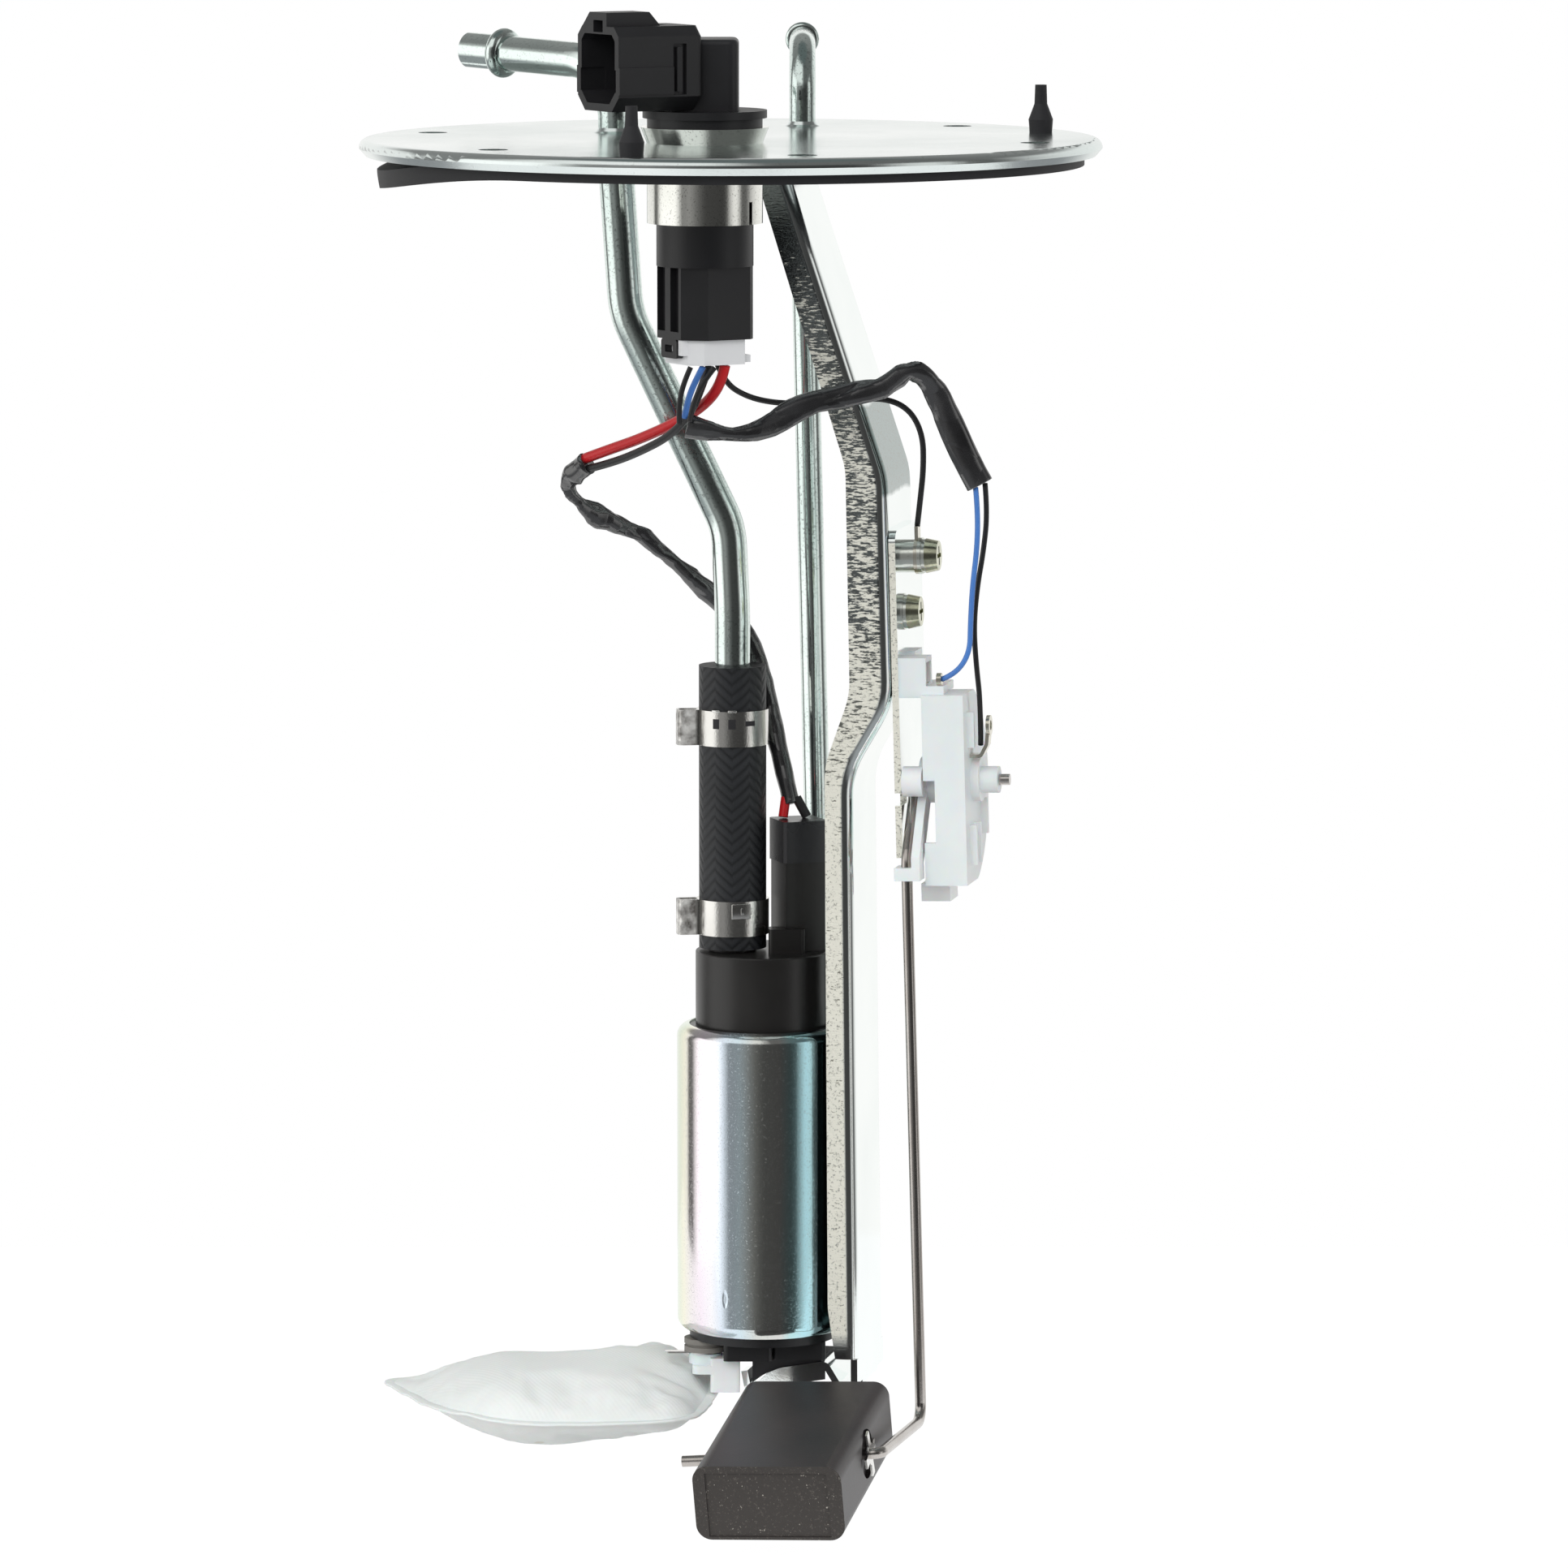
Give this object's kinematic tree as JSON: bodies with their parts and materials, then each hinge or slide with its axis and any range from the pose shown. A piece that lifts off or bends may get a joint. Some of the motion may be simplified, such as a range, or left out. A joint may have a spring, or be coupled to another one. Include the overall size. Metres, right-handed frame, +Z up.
{
  "type": "fuel pump module",
  "caption": "In-tank fuel pump module: round flange with pipes and socket, steel hanger, electric pump with strainer, level sender with swing arm and float.",
  "frame": {"origin": "centre of the flange, on the face that clamps the gasket", "axes": "+Z up out of the tank along the flange's axis, -Y towards the connector side, +X right when seen from that side"},
  "size_m": [0.165, 0.1686, 0.3324],
  "materials": {
    "zinc_steel": "zinc plated, pale yellow passivate",
    "pump_zinc": "zinc plated can, faint iridescence",
    "bright_steel": "bright stainless",
    "braze": "brazing alloy",
    "tinned_brass": "tinned",
    "black_rubber": "matt moulded rubber",
    "grey_rubber": "soft grey rubber",
    "black_plastic": "charcoal moulded plastic",
    "white_plastic": "white moulded plastic",
    "natural_plastic": "natural, slightly translucent",
    "white_ceramic": "thick-film card",
    "strainer_mesh": "fine woven mesh",
    "float_foam": "closed-cell nitrile foam",
    "magnet_iron": "laminated iron and ferrite",
    "red_vinyl": "insulation",
    "black_vinyl": "insulation",
    "blue_vinyl": "insulation",
    "sleeve_vinyl": "wrinkled soft sleeving"
  },
  "bodies": {
    "hanger": {"black_lead": "black_vinyl", "black_tails": "black_vinyl", "blue_crimp": "tinned_brass", "blue_lead": "blue_vinyl", "blue_tail": "blue_vinyl", "bracket": "zinc_steel", "braze_fillets": "braze", "check_spring": "bright_steel", "connector_ferrule": "bright_steel", "connector_housing": "black_plastic", "connector_latch": "white_plastic", "connector_seal": "black_rubber", "connector_terminals": "tinned_brass", "flange_plate": "zinc_steel", "fuel_hose": "black_rubber", "gasket": "black_rubber", "ground_lead": "black_vinyl", "ground_terminal": "tinned_brass", "harness_plug": "white_plastic", "hose_clamps": "bright_steel", "inlet_cap": "black_plastic", "inlet_grommet": "grey_rubber", "motor_brushes": "magnet_iron", "motor_magnets": "magnet_iron", "outlet_cap": "black_plastic", "plug_lead_black": "black_vinyl", "plug_lead_red": "red_vinyl", "pump_can": "pump_zinc", "pump_chamber": "black_plastic", "pump_isolator": "black_rubber", "pump_plug": "black_plastic", "pump_sleeve": "sleeve_vinyl", "pump_terminals": "tinned_brass", "red_lead": "red_vinyl", "resistor_card": "white_ceramic", "return_pipe": "zinc_steel", "screw_spacer": "bright_steel", "sender_housing": "natural_plastic", "sender_lead": "black_vinyl", "sender_plate": "zinc_steel", "sender_screws": "bright_steel", "sender_sleeve": "sleeve_vinyl", "sender_terminals": "tinned_brass", "sender_washers": "bright_steel", "strainer_bag": "strainer_mesh", "strainer_neck": "natural_plastic", "strainer_retainer": "bright_steel", "supply_pipe": "zinc_steel", "weld_nuts": "bright_steel"},
    "float_arm": {"arm_wire": "bright_steel", "sender_rotor": "natural_plastic", "sender_wiper": "tinned_brass", "float_clip": "bright_steel", "float_stop": "bright_steel"},
    "float": {"float_block": "float_foam"},
    "pump_rotor": {"armature": "magnet_iron", "motor_shaft": "bright_steel", "impeller": "black_plastic"},
    "outlet_valve": {"check_valve": "natural_plastic"}
  },
  "joints": [
    {"name": "sender_swing", "type": "hinge", "parent": "hanger", "child": "float_arm", "pos_m": [0.03987, 0.00584, -0.1424], "axis": [-0.9778, 0.2078, -0.0279], "range_deg": [0, 90]},
    {"name": "float_spin", "type": "hinge", "parent": "float_arm", "child": "float", "pos_m": [0.01394, -0.04386, -0.28708], "axis": [0.9747, -0.2072, 0.0837], "continuous": true},
    {"name": "rotor_spin", "type": "hinge", "parent": "hanger", "child": "pump_rotor", "pos_m": [0.007, 0.015, -0.235], "axis": [0, 0, 1], "continuous": true},
    {"name": "valve_lift", "type": "slide", "parent": "hanger", "child": "outlet_valve", "axis": [0, 0, 1], "range_m": [0, 0.0015], "stiffness_N_per_m": 40, "springref_m": -0.002, "deforming": ["check_spring"]}
  ]
}
